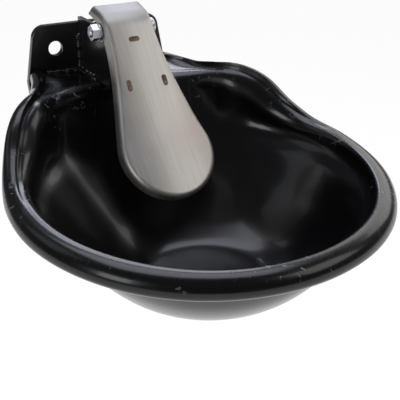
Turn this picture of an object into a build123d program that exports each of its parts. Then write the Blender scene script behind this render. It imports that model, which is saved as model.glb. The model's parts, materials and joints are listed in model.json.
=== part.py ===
from build123d import *
import math
import os

# Livestock drinking bowl: a deep-drawn steel bowl with a saddle-shaped rolled rim,
# welded to a wall plate. A stainless tongue in the bowl swings on a cross bolt and
# pushes the stem of a brass valve that stands between two cheeks.
# +Z is up, the wall is the plane Y = 0 and the bowl reaches towards -Y. The origin is
# the centre of the four fixing holes on the rear face of the wall plate.
# Lengths are millimetres, angles are degrees.

# ---- driving dimensions --------------------------------------------------------
# wall plate
PLATE_T = 5.0
HOLE_D = 11.0
HOLE_PITCH_X = 70.0
HOLE_PITCH_Z = 110.0
PLATE_TOP_MARGIN = 18.0
PLATE_TOP_HALF = 50.5
PLATE_WAIST_HALF = 58.5
PLATE_WAIST_DROP = 42.0
PLATE_FOOT_HALF = 50.0
PLATE_CORNER_R = 10.0

# bowl: a round basin in front, a squarer lobe behind it and a level flange at the wall
RIM_R = 110.0
BASIN_BACK_Y = -50.0
SHEET_T = 3.0
BEAD_W = 14.0
BEAD_H = 14.0
BEAD_R = 7.0
MOUTH_EASE = 2.0
LOBE_BACK_Y = -42.0
LOBE_CORNER = (66.0, -48.0)
LOBE_OPENING = 37.6
LOBE_CORNER_R = 42.0
LOBE_WALL_H = 6.0
LOBE_DEPTH = 50.0
LOBE_TAPER = 38.0
SHOULDER = (83.0, -70.0)
NECK_R = 30.0
FLANGE_Z = 36.0
SHOULDER_RISE = 4.5
NECK_DROP = 21.0
SIDE_DROP = 25.3
FRONT_DROP = 31.5
LIP_WALL_H = 2.5
# rings of the drawn wall, from the mouth down to the floor: how far each lies inside the
# mouth and under it, how far its centre lies in front, and how far the wall leans there
WALL_RINGS = (
    (0.0, 0.0, 0.0, 0.0),
    (16.5, 10.2, 5.6, 40.0),
    (27.6, 35.4, 9.3, 33.0),
    (55.4, 61.5, 9.3, 55.0),
    (70.6, 69.2, 9.3, 72.0),
)

# cheeks and web that carry the valve and the tongue
CHEEK_T = 3.0
CHANNEL_W = 25.6
CHEEK_REACH = 59.0
CHEEK_TOP_Z = 77.0
EAR_R = 8.0
WEB_T = 3.0
WEB_H = 30.0

# tongue pivot
PIN_D = 6.0
PIN_Y = -53.0
PIN_Z = 76.0
BUSH_WALL = 1.5
WASHER_D = 12.0
NUT_AF = 10.0
NUT_T = 5.0
PIVOT_WASHER_T = 1.2
BOLT_HEAD_T = 4.0

# tongue
TONGUE_T = 2.0
TONGUE_LIP = 9.0
TONGUE_TILT = 35.5
TONGUE_TOP = (-40.0, 91.2)
TONGUE_KNEE = (-58.3, 87.0)
TONGUE_BEND_S = 82.0
TONGUE_FOOT_TILT = 44.0
TONGUE_TOP_HALF = 20.4
TONGUE_WAIST_HALF = 18.7
TONGUE_WAIST_S = 10.0
PADDLE_R = 34.2
PADDLE_S = 101.0
TONGUE_EDGE_R = 3.5
KNEE_R = 20.0
FOOT_BEND_R = 120.0
PADDLE_LEAN = 14.0

# striker bracket behind the tongue
STRIKER_W = 24.0
STRIKER_FOOT_W = 34.0
STRIKER_T = 2.5
STRIKER_FACE_H = 16.0
PLUG_WELD_W = 3.4
PLUG_WELD_L = 8.0
PLUG_WELD_PITCH = 27.5
PLUG_CROWN = 0.3
PLUG_TOP_S = 18.0
PLUG_LOW_S = 50.5
STRIKER_Y = -62.0

# valve
VALVE_Y = -22.0
VALVE_Z = 50.0
BODY_D = 25.0
BODY_TOP_Z = 74.0
BODY_H = 54.0
THREAD_D = 18.6
THREAD_L = 14.0
RUNOUT_L = 2.0
RUNOUT_R = 9.9
WATERWAY_D = 14.0
NOSE_D = 16.0
NOSE_L = 25.0
BORE_D = 11.0
BORE_BACK = 8.0
COLLAR_D = 22.0
COLLAR_T = 2.0
VALVE_NUT_AF = 21.0
VALVE_NUT_T = 5.0
BUSH_L = 14.5
SEAT_D = 7.0
GUIDE_D = 9.0
GUIDE_T = 3.0
STEM_D = 4.0
HEAD_D = 9.4
HEAD_T = 2.0
SEAL_T = 2.0
SPRING_WIRE = 1.0
SPRING_D = 7.6
SPRING_TURNS = 4.0
STRAINER_T = 1.2
PLUG_HEAD_D = 26.0
PLUG_HEAD_T = 2.5
PLUG_HEX_AF = 19.0
PLUG_HEX_T = 6.0
PLUG_THREAD_L = 11.0
RING_W = 2.4
RING_T = 2.2

# named clearances
SEAT = 0.05
GAP = 0.3
RUN = 0.08
SIDE_PLAY = 0.9
WELD_LEG = 3.2

# ---- sizes that follow ---------------------------------------------------------
BOWL_Y = BASIN_BACK_Y - RIM_R
WALL_TOP_Z = FLANGE_Z - FRONT_DROP - LIP_WALL_H
BOWL_FLOOR_Z = WALL_TOP_Z - WALL_RINGS[-1][1]
OPENING = math.radians(LOBE_OPENING)
LOBE_SIDE = (RIM_R * math.cos(OPENING), BOWL_Y + RIM_R * math.sin(OPENING))
HOLE_TOP_Z = HOLE_PITCH_Z / 2
PLATE_TOP_Z = HOLE_TOP_Z + PLATE_TOP_MARGIN
PLATE_WAIST_Z = PLATE_TOP_Z - PLATE_WAIST_DROP
PLATE_FOOT_Z = BOWL_FLOOR_Z - SHEET_T
PLATE_FRONT_Y = -PLATE_T
CHEEK_IN = CHANNEL_W / 2
CHEEK_OUT = CHEEK_IN + CHEEK_T
CHEEK_FOOT_Z = FLANGE_Z + SEAT
BUSH_D = PIN_D + 2 * BUSH_WALL
LIP_IN = CHEEK_OUT + SIDE_PLAY
LIP_OUT = LIP_IN + TONGUE_T
BODY_FOOT_Z = BODY_TOP_Z - BODY_H
BODY_FRONT_Y = VALVE_Y - BODY_D / 2
COLLAR_FRONT_Y = BODY_FRONT_Y - COLLAR_T + 1.0
WEB_BACK_Y = COLLAR_FRONT_Y - SEAT
WEB_FRONT_Y = WEB_BACK_Y - WEB_T
NOSE_TIP_Y = VALVE_Y - NOSE_L
BORE_BACK_Y = VALVE_Y + BORE_BACK
SEAT_Y = NOSE_TIP_Y + BUSH_L
HEAD_FRONT_Y = SEAT_Y + SEAL_T + 2 * SEAT
HEAD_BACK_Y = HEAD_FRONT_Y + HEAD_T
SPRING_L = BORE_BACK_Y - HEAD_BACK_Y - 2 * SEAT
TILT = math.radians(TONGUE_TILT)
FOOT_TILT = math.radians(TONGUE_FOOT_TILT)


def box(x0, x1, y0, y1, z0, z1):
    """Box between two corners."""
    centre = ((x0 + x1) / 2, (y0 + y1) / 2, (z0 + z1) / 2)
    return Pos(*centre) * Box(abs(x1 - x0), abs(y1 - y0), abs(z1 - z0))


def rod_x(radius, x0, x1, y, z):
    """Round bar along X."""
    return Pos((x0 + x1) / 2, y, z) * Rot(0, 90, 0) * Cylinder(radius, abs(x1 - x0))


def rod_y(radius, y0, y1, x, z):
    """Round bar along Y."""
    return Pos(x, (y0 + y1) / 2, z) * Rot(90, 0, 0) * Cylinder(radius, abs(y1 - y0))


def rod_z(radius, z0, z1, x, y):
    """Round bar along Z."""
    return Pos(x, y, (z0 + z1) / 2) * Cylinder(radius, abs(z1 - z0))


def hex_bar(across_flats, length):
    """Six-sided bar along +Z from its foot at the origin."""
    return extrude(RegularPolygon(across_flats / 2, 6, major_radius=False), length)


# ---- bowl ----------------------------------------------------------------------
def rim_plan():
    """Outside of the rolled rim seen from above, run on past the wall plate."""
    corner_x = PLATE_WAIST_HALF - 1.0
    flare = (SHOULDER[0] - corner_x) / (PLATE_FRONT_Y - SHOULDER[1])
    past = PLATE_FRONT_Y + 4 * BEAD_R
    inside = BOWL_Y + RIM_R / 2
    right = [
        (corner_x - flare * (past - PLATE_FRONT_Y), past),
        (SHOULDER[0] + flare * (SHOULDER[1] - inside), inside),
    ]
    left = [(-x, y) for x, y in reversed(right)]
    plan = make_face(Polyline(*right, *left, close=True))
    plan += Pos(0, BOWL_Y) * Circle(RIM_R + BEAD_W)
    necks = [v for v in plan.vertices() if inside < v.Y < past - SEAT]
    return fillet(necks, NECK_R)


def lobe_plan():
    """Inside of the lobe behind the round basin, seen from above."""
    right = [LOBE_CORNER, LOBE_SIDE]
    left = [(-x, y) for x, y in reversed(right)]
    lobe = make_face(Polyline((0, LOBE_BACK_Y), *right, (0, BOWL_Y), *left, close=True))
    corners = [v for v in lobe.vertices() if abs(v.Y - LOBE_CORNER[1]) < SEAT]
    return fillet(corners, LOBE_CORNER_R)


def under_saddle(drop):
    """All that lies under the rim's side view: level flange, shoulders, neck, low front."""
    far = 2 * BOWL_Y
    deep = 2 * BOWL_FLOOR_Z
    lobe_end = LOBE_SIDE[1]
    crest = [
        (PLATE_FRONT_Y - BEAD_H, FLANGE_Z),
        (LOBE_BACK_Y, FLANGE_Z),
        (SHOULDER[1] - BEAD_R, FLANGE_Z + SHOULDER_RISE),
        (lobe_end, FLANGE_Z - SHOULDER_RISE / 5),
        (BOWL_Y + RIM_R / 3, FLANGE_Z - NECK_DROP),
        (BOWL_Y, FLANGE_Z - SIDE_DROP),
        (BOWL_Y - RIM_R / 2, (2 * FLANGE_Z - SIDE_DROP - FRONT_DROP) / 2),
        (far, FLANGE_Z - FRONT_DROP),
    ]
    with BuildLine() as side:
        Spline(*crest, tangents=[(-1, 0), (-1, 0)])
        Polyline(crest[0], (-far, FLANGE_Z), (-far, deep), (far, deep), crest[-1])
    profile = Plane.YZ * make_face(side.edges())
    return Pos(0, 0, -drop) * extrude(profile, 2 * RIM_R, both=True)


def rim_block(plan, drop, edge_r):
    """Block under the saddle with its outside top edge rolled over."""
    block = Pos(0, 0, 2 * BOWL_FLOOR_Z) * extrude(plan, -4 * BOWL_FLOOR_Z) & under_saddle(drop)
    crest = [f for f in block.faces() if f.normal_at().Z > 0.2]
    rolled = [e for f in crest for e in f.edges() if is_rim_edge(e)]
    if edge_r:
        return fillet(rolled, edge_r)
    return chamfer(rolled, BEAD_R / 2 - SHEET_T / 3)


def is_rim_edge(edge):
    """True for the outer edges of the rim in front of the wall plate."""
    middle = edge.center()
    return abs(middle.X) > LOBE_BACK_Y + SHOULDER[0] and middle.Y < -PLATE_FRONT_Y


def basin(grow):
    """Inside of the bowl, grown by the sheet for its outside."""
    lid = 2 * FLANGE_Z
    rings = []
    for inset, depth, forward, lean in WALL_RINGS:
        out, down = math.cos(math.radians(lean)), math.sin(math.radians(lean))
        level = Pos(0, BOWL_Y - forward, WALL_TOP_Z - depth - grow * down)
        rings.append(level * Circle(RIM_R - inset + grow * out))
    bowl = loft(rings) + rod_z(RIM_R + grow, WALL_TOP_Z, lid, 0, BOWL_Y)
    lobe = lobe_plan()
    if grow:
        lobe = offset(lobe, grow)
    shelf = Pos(0, 0, FLANGE_Z - LOBE_WALL_H)
    bowl += shelf * extrude(lobe, FLANGE_Z)
    return bowl + extrude(shelf * lobe, -LOBE_DEPTH, taper=LOBE_TAPER)


def bowl_shell():
    """Deep-drawn bowl: saddle rim with a rolled edge, basin, lobe and flange in one sheet."""
    size = 4 * RIM_R
    plan = rim_plan()
    shell = rim_block(plan, 0, BEAD_R) - under_saddle(BEAD_H)
    shell -= rim_block(offset(plan, -SHEET_T), SHEET_T, 0)
    shell += basin(SHEET_T) & under_saddle(SHEET_T / 2)
    shell -= basin(0)
    shell -= box(-size, size, PLATE_FRONT_Y, size, -size, size)
    shell = ease_mouth(shell)
    return shell - rod_z(BODY_D / 2 + GAP, FLANGE_Z - 2 * SHEET_T, FLANGE_Z + 1, 0, VALVE_Y)


def ease_mouth(shell):
    """Bevel the drawn edge between the rim's crest and the inside wall."""
    faces = shell.faces()
    crest = [f for f in faces if f.normal_at().Z > 0.9 and f.center().Z > BEAD_W / 2]
    walls = [f for f in faces if abs(f.normal_at().Z) < SEAT and is_inside_wall(f)]
    wall_edges = [e for f in walls for e in f.edges()]
    mouth = [e for f in crest for e in f.edges() if any(e.is_same(w) for w in wall_edges)]
    return chamfer(mouth, MOUTH_EASE)


def is_inside_wall(face):
    """True when an upright face looks at the bowl's own axis."""
    middle = face.center()
    return face.normal_at().dot(Vector(middle.X, middle.Y - BOWL_Y, 0)) < 0 and middle.Y < PLATE_FRONT_Y - 1


# ---- wall plate and valve carrier -------------------------------------------------
def back_plate():
    """Stamped plate, widest at the flange, with four holes for two U-bolts."""
    right = [
        (PLATE_TOP_HALF, PLATE_TOP_Z),
        (PLATE_WAIST_HALF, PLATE_WAIST_Z),
        (PLATE_FOOT_HALF, PLATE_FOOT_Z),
    ]
    left = [(-x, z) for x, z in reversed(right)]
    sketch = make_face(Polyline(*right, *left, close=True))
    sketch = fillet(sketch.vertices(), PLATE_CORNER_R)
    for x in (-HOLE_PITCH_X / 2, HOLE_PITCH_X / 2):
        for z in (-HOLE_PITCH_Z / 2, HOLE_PITCH_Z / 2):
            sketch -= Pos(x, z) * Circle(HOLE_D / 2)
    plate = extrude(Plane.XZ * sketch, PLATE_T)
    edges = plate.edges().filter_by(Axis.Y, reverse=True)
    return chamfer(edges, 0.4)


def cheek(side):
    """Side wall of the valve carrier, with an ear round the tongue pivot."""
    x_in, x_out = side * CHEEK_IN, side * CHEEK_OUT
    wall = box(x_in, x_out, PLATE_FRONT_Y, -CHEEK_REACH, CHEEK_FOOT_Z, CHEEK_TOP_Z)
    corner = wall.edges().filter_by(Axis.X).sort_by(Axis.Y)[:2].sort_by(Axis.Z)[-1]
    wall = fillet(corner, EAR_R / 2)
    wall += rod_x(EAR_R, x_in, x_out, PIN_Y, PIN_Z)
    return wall - rod_x(BUSH_D / 2 + SEAT, 2 * x_in - x_out, 2 * x_out - x_in, PIN_Y, PIN_Z)


def valve_web():
    """Cross plate between the cheeks that the valve is clamped to."""
    half = CHEEK_IN - SEAT
    web = box(-half, half, WEB_FRONT_Y, WEB_BACK_Y, VALVE_Z - WEB_H * 0.4, VALVE_Z + WEB_H * 0.6)
    return web - rod_y(NOSE_D / 2 + GAP, WEB_FRONT_Y - 1, WEB_BACK_Y + 1, 0, VALVE_Z)


# ---- weld beads ------------------------------------------------------------------
def side_weld(side):
    """Beads on one side: plate to flange, plate to cheek, and cheek to flange."""
    cheek_x = side * CHEEK_OUT
    far_x = side * (PLATE_WAIST_HALF - 2 * WELD_LEG)
    bead = rod_x(WELD_LEG, cheek_x, far_x, PLATE_FRONT_Y, FLANGE_Z)
    bead += rod_z(WELD_LEG, FLANGE_Z, PLATE_TOP_Z - 2 * WELD_LEG, cheek_x, PLATE_FRONT_Y)
    bead += rod_y(WELD_LEG, LOBE_BACK_Y + 2 * WELD_LEG, PLATE_FRONT_Y, cheek_x, FLANGE_Z)
    bead += Pos(far_x, PLATE_FRONT_Y, FLANGE_Z) * Sphere(WELD_LEG)
    size = 2 * RIM_R
    return bead & box(cheek_x, side * size, -size, PLATE_FRONT_Y, FLANGE_Z + SEAT, size)


def under_weld():
    """Bead under the flange, against the plate."""
    reach = PLATE_WAIST_HALF - 4 * WELD_LEG
    foot_z = FLANGE_Z - SHEET_T
    bead = rod_x(WELD_LEG, -reach, reach, PLATE_FRONT_Y, foot_z)
    size = 2 * RIM_R
    room = box(-size, size, -size, PLATE_FRONT_Y, -size, foot_z - SEAT)
    return bead & room


# ---- tongue ----------------------------------------------------------------------
def on_tongue(along, behind):
    """Point (y, z) at a distance down the tongue from its knee and behind its face."""
    y = TONGUE_KNEE[0] - along * math.sin(TILT) + behind * math.cos(TILT)
    z = TONGUE_KNEE[1] - along * math.cos(TILT) - behind * math.sin(TILT)
    return (y, z)


def tongue_plane():
    """Plane of the tongue's straight face, with y up the tongue."""
    up = (0, math.sin(TILT), math.cos(TILT))
    return Plane(
        origin=(0, *TONGUE_KNEE), x_dir=(1, 0, 0), z_dir=(0, -up[2], up[1])
    )


def tongue_band(front, back, overrun):
    """Bent slab between two depths behind the face, as wide as the whole tongue."""
    bend = on_tongue(TONGUE_BEND_S, 0)
    foot_l = PADDLE_S + 2 * PADDLE_R - TONGUE_BEND_S
    tip = (bend[0] - foot_l * math.sin(FOOT_TILT), bend[1] - foot_l * math.cos(FOOT_TILT))
    top = (TONGUE_TOP[0] + overrun, TONGUE_TOP[1] + overrun / 6)
    spine = (top, TONGUE_KNEE, bend, tip)
    shift_y, shift_z = math.cos(TILT), -math.sin(TILT)
    near = [(y + front * shift_y, z + front * shift_z) for y, z in spine]
    far = [(y + back * shift_y, z + back * shift_z) for y, z in spine]
    with BuildLine() as edge:
        FilletPolyline(*near, radius=[KNEE_R, FOOT_BEND_R])
        FilletPolyline(*far, radius=[KNEE_R, FOOT_BEND_R])
        Line(near[0], far[0])
        Line(near[-1], far[-1])
    return extrude(Plane.YZ * make_face(edge.edges()), 2 * PADDLE_R, both=True)


def tongue_prism(shrink):
    """Outline of the tongue, drawn square to its face."""
    top_y = PADDLE_R
    reach = PADDLE_R - shrink
    lean = math.radians(PADDLE_LEAN)
    meet_x, meet_y = reach * math.cos(lean), reach * math.sin(lean) - PADDLE_S
    with BuildLine() as edge:
        Spline(
            (TONGUE_TOP_HALF - shrink, top_y),
            (TONGUE_WAIST_HALF - shrink, -TONGUE_WAIST_S),
            (meet_x, meet_y),
            tangents=[(0, -1), (math.sin(lean), -math.cos(lean))],
        )
        mirror(edge.line, about=Plane.YZ)
        ThreePointArc((meet_x, meet_y), (0, -PADDLE_S - reach), (-meet_x, meet_y))
        Line((TONGUE_TOP_HALF - shrink, top_y), (shrink - TONGUE_TOP_HALF, top_y))
    return extrude(tongue_plane() * make_face(edge.edges()), 2 * PADDLE_R, both=True)


def tongue_block(inset, depth, overrun, edge_r):
    """Solid tongue with its face edges rounded over."""
    block = tongue_prism(inset) & tongue_band(inset, depth, overrun)
    if not edge_r:
        return block
    faces = [f for f in block.faces() if f.normal_at().Z > 0.2 and abs(f.normal_at().X) < SEAT]
    rims = [e for f in faces for e in f.edges() if abs(e.center().X) > 2 or e.center().Z < 0]
    return fillet(rims, edge_r)


def tongue():
    """Pressed stainless tongue: round paddle, waist, turned-down lips and pivot lugs."""
    body = tongue_block(0, TONGUE_LIP, 0, TONGUE_EDGE_R)
    for side in (-1, 1):
        body += rod_x(EAR_R - 1, side * LIP_IN, side * LIP_OUT, PIN_Y, PIN_Z)
    deep = 3 * TONGUE_LIP
    body -= tongue_block(TONGUE_T, deep, deep, 0)
    for side in (-1, 1):
        body += rod_x(EAR_R - 1, side * LIP_IN, side * LIP_OUT, PIN_Y, PIN_Z)
    body -= rod_x(PIN_D / 2 + RUN, -PADDLE_R, PADDLE_R, PIN_Y, PIN_Z)
    for slot in plug_slugs(SEAT):
        body -= slot
    return body


def plug_slugs(grow):
    """Three plug welds through the tongue, one across and two along it."""
    spots = (
        (0, PLUG_TOP_S, 90),
        (-PLUG_WELD_PITCH / 2, PLUG_LOW_S, 0),
        (PLUG_WELD_PITCH / 2, PLUG_LOW_S, 0),
    )
    slugs = []
    for x, along, turn in spots:
        slot = SlotOverall(PLUG_WELD_L + 2 * grow, PLUG_WELD_W + 2 * grow, rotation=90 - turn)
        profile = tongue_plane() * (Pos(x, -along) * slot)
        slugs.append(extrude(profile, -TONGUE_T) + extrude(profile, PLUG_CROWN))
    return slugs


def striker_bracket():
    """Folded strip behind the tongue whose upright face pushes the valve stem."""
    rest = TONGUE_T + SEAT + STRIKER_T / 2
    face_y = STRIKER_Y - STRIKER_T / 2
    half = STRIKER_FACE_H / 2
    path = (
        on_tongue(PLUG_TOP_S - PLUG_WELD_L, rest),
        on_tongue(PLUG_TOP_S + PLUG_WELD_L, rest),
        (face_y, VALVE_Z + half),
        (face_y, VALVE_Z - half),
        on_tongue(PLUG_LOW_S - PLUG_WELD_L, rest),
        on_tongue(PLUG_LOW_S + PLUG_WELD_L, rest),
    )
    strip = trace(FilletPolyline(*path, radius=STRIKER_T), STRIKER_T)
    bar = extrude(Plane.YZ * strip, STRIKER_FOOT_W / 2, both=True)
    foot_y = path[4][0] + STRIKER_T
    half, size = STRIKER_W / 2, 2 * RIM_R
    room = box(-half, half, -size, size, -size, size) + box(-size, size, -size, foot_y, -size, size)
    return bar & room


# ---- pivot -----------------------------------------------------------------------
def pivot_bush(side):
    """Flanged nylon bush pressed into a cheek."""
    x_in, x_out = side * CHEEK_IN, side * CHEEK_OUT
    bush = rod_x(BUSH_D / 2, x_in, x_out, PIN_Y, PIN_Z)
    bush += rod_x(WASHER_D / 2, x_out + side * SEAT, x_out + side * SIDE_PLAY / 2, PIN_Y, PIN_Z)
    bush += rod_x(BUSH_D / 2, x_in, x_out + side * SIDE_PLAY / 2, PIN_Y, PIN_Z)
    return bush - rod_x(PIN_D / 2 + RUN, x_in - side, x_out + 2 * side, PIN_Y, PIN_Z)


def pivot_bolt():
    """Cross bolt with a low round head on the right."""
    head_x = LIP_OUT + 2 * GAP
    end_x = -(LIP_OUT + 2 * GAP + PIVOT_WASHER_T + NUT_T + PIN_D / 4)
    bolt = rod_x(PIN_D / 2, end_x, head_x, PIN_Y, PIN_Z)
    head = rod_x(WASHER_D / 2, head_x, head_x + BOLT_HEAD_T, PIN_Y, PIN_Z)
    crown = head.edges().filter_by(GeomType.CIRCLE).sort_by(Axis.X)[-1]
    end = bolt.edges().filter_by(GeomType.CIRCLE).sort_by(Axis.X)[0]
    return chamfer(end, PIN_D / 8) + fillet(crown, BOLT_HEAD_T * 0.6)


def pivot_washer():
    """Plain washer under the nut."""
    x = -(LIP_OUT + 2 * GAP)
    ring = rod_x(WASHER_D / 2, x - PIVOT_WASHER_T, x, PIN_Y, PIN_Z)
    return ring - rod_x(PIN_D / 2 + SEAT, x - NUT_T, x + 1, PIN_Y, PIN_Z)


def pivot_nut():
    """Hexagon nut on the left end of the bolt."""
    x = -(LIP_OUT + 2 * GAP + PIVOT_WASHER_T + SEAT)
    nut = Pos(x, PIN_Y, PIN_Z) * Rot(0, -90, 0) * hex_bar(NUT_AF, NUT_T)
    return nut - rod_x(PIN_D / 2 + SEAT, x - 2 * NUT_T, x + NUT_T, PIN_Y, PIN_Z)


# ---- valve -----------------------------------------------------------------------
def valve_body():
    """Brass tee: threaded sockets with run-out grooves up and down, nose to the tongue."""
    body = rod_z(BODY_D / 2, BODY_FOOT_Z, BODY_TOP_Z, 0, VALVE_Y)
    ends = body.edges().filter_by(GeomType.CIRCLE)
    body = chamfer(ends, 1.0)
    body += rod_y(COLLAR_D / 2, COLLAR_FRONT_Y, VALVE_Y, 0, VALVE_Z)
    body += rod_y(NOSE_D / 2, NOSE_TIP_Y, VALVE_Y, 0, VALVE_Z)
    body -= rod_z(WATERWAY_D / 2, BODY_FOOT_Z, BODY_TOP_Z, 0, VALVE_Y)
    body -= rod_z(THREAD_D / 2, BODY_TOP_Z - THREAD_L, BODY_TOP_Z + 1, 0, VALVE_Y)
    body -= rod_z(THREAD_D / 2, BODY_FOOT_Z - 1, BODY_FOOT_Z + THREAD_L, 0, VALVE_Y)
    top_end, foot_end = BODY_TOP_Z - THREAD_L, BODY_FOOT_Z + THREAD_L
    body -= rod_z(RUNOUT_R, top_end - RUNOUT_L, top_end, 0, VALVE_Y)
    body -= rod_z(RUNOUT_R, foot_end, foot_end + RUNOUT_L, 0, VALVE_Y)
    return body - rod_y(BORE_D / 2, NOSE_TIP_Y - 1, BORE_BACK_Y, 0, VALVE_Z)


def valve_nut():
    """Flat hexagon nut that clamps the nose to the web."""
    y = WEB_FRONT_Y - SEAT
    nut = Pos(0, y, VALVE_Z) * Rot(90, 0, 0) * hex_bar(VALVE_NUT_AF, VALVE_NUT_T)
    return nut - rod_y(NOSE_D / 2 + SEAT, y - 2 * VALVE_NUT_T, y + 1, 0, VALVE_Z)


def seat_bush():
    """Brass seat screwed into the nose; water leaves through its bore."""
    bush = rod_y(BORE_D / 2 - SEAT, NOSE_TIP_Y, SEAT_Y, 0, VALVE_Z)
    bush -= rod_y(SEAT_D / 2, NOSE_TIP_Y - 1, SEAT_Y + 1, 0, VALVE_Z)
    return bush - rod_y(GUIDE_D / 2, NOSE_TIP_Y - 1, NOSE_TIP_Y + GUIDE_T, 0, VALVE_Z)


def stem_guide():
    """Three-armed guide that centres the stem in the outlet."""
    hub = rod_y(STEM_D / 2 + 1, NOSE_TIP_Y, NOSE_TIP_Y + GUIDE_T - SEAT, 0, VALVE_Z)
    ring = rod_y(GUIDE_D / 2 - SEAT, NOSE_TIP_Y, NOSE_TIP_Y + GUIDE_T - SEAT, 0, VALVE_Z)
    hollow = rod_y(GUIDE_D / 2 - 0.7, NOSE_TIP_Y - 1, NOSE_TIP_Y + GUIDE_T + 1, 0, VALVE_Z)
    guide = hub + (ring - hollow)
    for turn in (90, 210, 330):
        arm = box(0, GUIDE_D / 2 - 0.4, 0, -GUIDE_T + SEAT, -0.6, 0.6)
        guide += Pos(0, NOSE_TIP_Y + GUIDE_T - SEAT, VALVE_Z) * Rot(0, turn, 0) * arm
    return guide - rod_y(STEM_D / 2 + RUN, NOSE_TIP_Y - 1, NOSE_TIP_Y + GUIDE_T + 1, 0, VALVE_Z)


def valve_stem():
    """Stainless stem: round tip at the striker, head behind the seal."""
    tip_y = STRIKER_Y + GAP
    stem = rod_y(STEM_D / 2, tip_y, HEAD_BACK_Y, 0, VALVE_Z)
    tip = stem.edges().filter_by(GeomType.CIRCLE).sort_by(Axis.Y)[0]
    stem = fillet(tip, STEM_D / 2 - SEAT)
    return stem + rod_y(HEAD_D / 2, HEAD_FRONT_Y, HEAD_BACK_Y, 0, VALVE_Z)


def stem_seal():
    """Rubber washer that shuts on the seat."""
    back = HEAD_FRONT_Y - SEAT
    seal = rod_y(HEAD_D / 2, back - SEAL_T, back, 0, VALVE_Z)
    return seal - rod_y(STEM_D / 2 + SEAT / 2, back - 2 * SEAL_T, back + 1, 0, VALVE_Z)


def valve_spring():
    """Compression spring between the stem head and the end of the bore."""
    pitch = (SPRING_L - SPRING_WIRE) / SPRING_TURNS
    radius = SPRING_D / 2
    coil = Helix(pitch, pitch * SPRING_TURNS, radius)
    wire = Plane(coil @ 0, z_dir=coil % 0) * Rectangle(SPRING_WIRE, SPRING_WIRE)
    spring = sweep(wire, path=coil)
    start = HEAD_BACK_Y + SEAT + SPRING_WIRE / 2
    return Pos(0, start, VALVE_Z) * Rot(-90, 0, 0) * spring


def inlet_strainer():
    """Perforated disc at the foot of the upper socket."""
    floor = BODY_TOP_Z - THREAD_L - RUNOUT_L + SEAT
    disc = rod_z(THREAD_D / 2 - SEAT, floor, floor + STRAINER_T, 0, VALVE_Y)
    pitch = WATERWAY_D / 5
    for x in (-1, 0, 1):
        for y in (-1, 0, 1):
            hole_x, hole_y = x * pitch, VALVE_Y + y * pitch
            disc -= rod_z(pitch / 3, floor - 1, floor + 2 * STRAINER_T, hole_x, hole_y)
    return disc


def blanking_plug():
    """Plastic plug in the spare lower socket, with a hexagon to turn it."""
    seat_z = BODY_FOOT_Z - RING_T
    plug = rod_z(THREAD_D / 2 - SEAT, seat_z, BODY_FOOT_Z + PLUG_THREAD_L, 0, VALVE_Y)
    plug += rod_z(PLUG_HEAD_D / 2, seat_z - PLUG_HEAD_T, seat_z, 0, VALVE_Y)
    hexagon = hex_bar(PLUG_HEX_AF, PLUG_HEX_T)
    plug += Pos(0, VALVE_Y, seat_z - PLUG_HEAD_T - PLUG_HEX_T) * hexagon
    bore = rod_z(THREAD_D / 3, seat_z, BODY_FOOT_Z + 2 * PLUG_THREAD_L, 0, VALVE_Y)
    return plug - bore


def plug_seal():
    """Flat sealing ring between the plug's head and the socket."""
    foot, top = BODY_FOOT_Z - RING_T + SEAT / 2, BODY_FOOT_Z - SEAT / 2
    ring = rod_z(THREAD_D / 2 + SEAT + RING_W, foot, top, 0, VALVE_Y)
    edges = ring.edges().filter_by(GeomType.CIRCLE)
    return chamfer(edges, RING_T / 5) - rod_z(THREAD_D / 2 + SEAT / 2, foot - 1, top + 1, 0, VALVE_Y)


# ---- write every piece --------------------------------------------------------------
def group(solids):
    """Several loose solids kept as one node."""
    return Compound(children=list(solids))


PIECES = {
    "bowl_shell": bowl_shell,
    "back_plate": back_plate,
    "left_cheek": lambda: cheek(-1),
    "right_cheek": lambda: cheek(1),
    "valve_web": valve_web,
    "left_weld": lambda: side_weld(-1),
    "right_weld": lambda: side_weld(1),
    "under_weld": under_weld,
    "tongue": tongue,
    "striker_bracket": striker_bracket,
    "plug_welds": lambda: group(plug_slugs(0)),
    "left_bush": lambda: pivot_bush(-1),
    "right_bush": lambda: pivot_bush(1),
    "pivot_bolt": pivot_bolt,
    "pivot_washer": pivot_washer,
    "pivot_nut": pivot_nut,
    "valve_body": valve_body,
    "valve_nut": valve_nut,
    "seat_bush": seat_bush,
    "stem_guide": stem_guide,
    "valve_stem": valve_stem,
    "stem_seal": stem_seal,
    "valve_spring": valve_spring,
    "inlet_strainer": inlet_strainer,
    "blanking_plug": blanking_plug,
    "plug_seal": plug_seal,
}

os.makedirs("parts", exist_ok=True)
for name, make in PIECES.items():
    export_step(make(), f"parts/{name}.step")
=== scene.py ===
import json
import logging
import math
from dataclasses import dataclass
from enum import Enum
from typing import Callable, Iterable, Sequence

import bmesh
import bpy
from mathutils import Euler, Matrix, Vector


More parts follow.
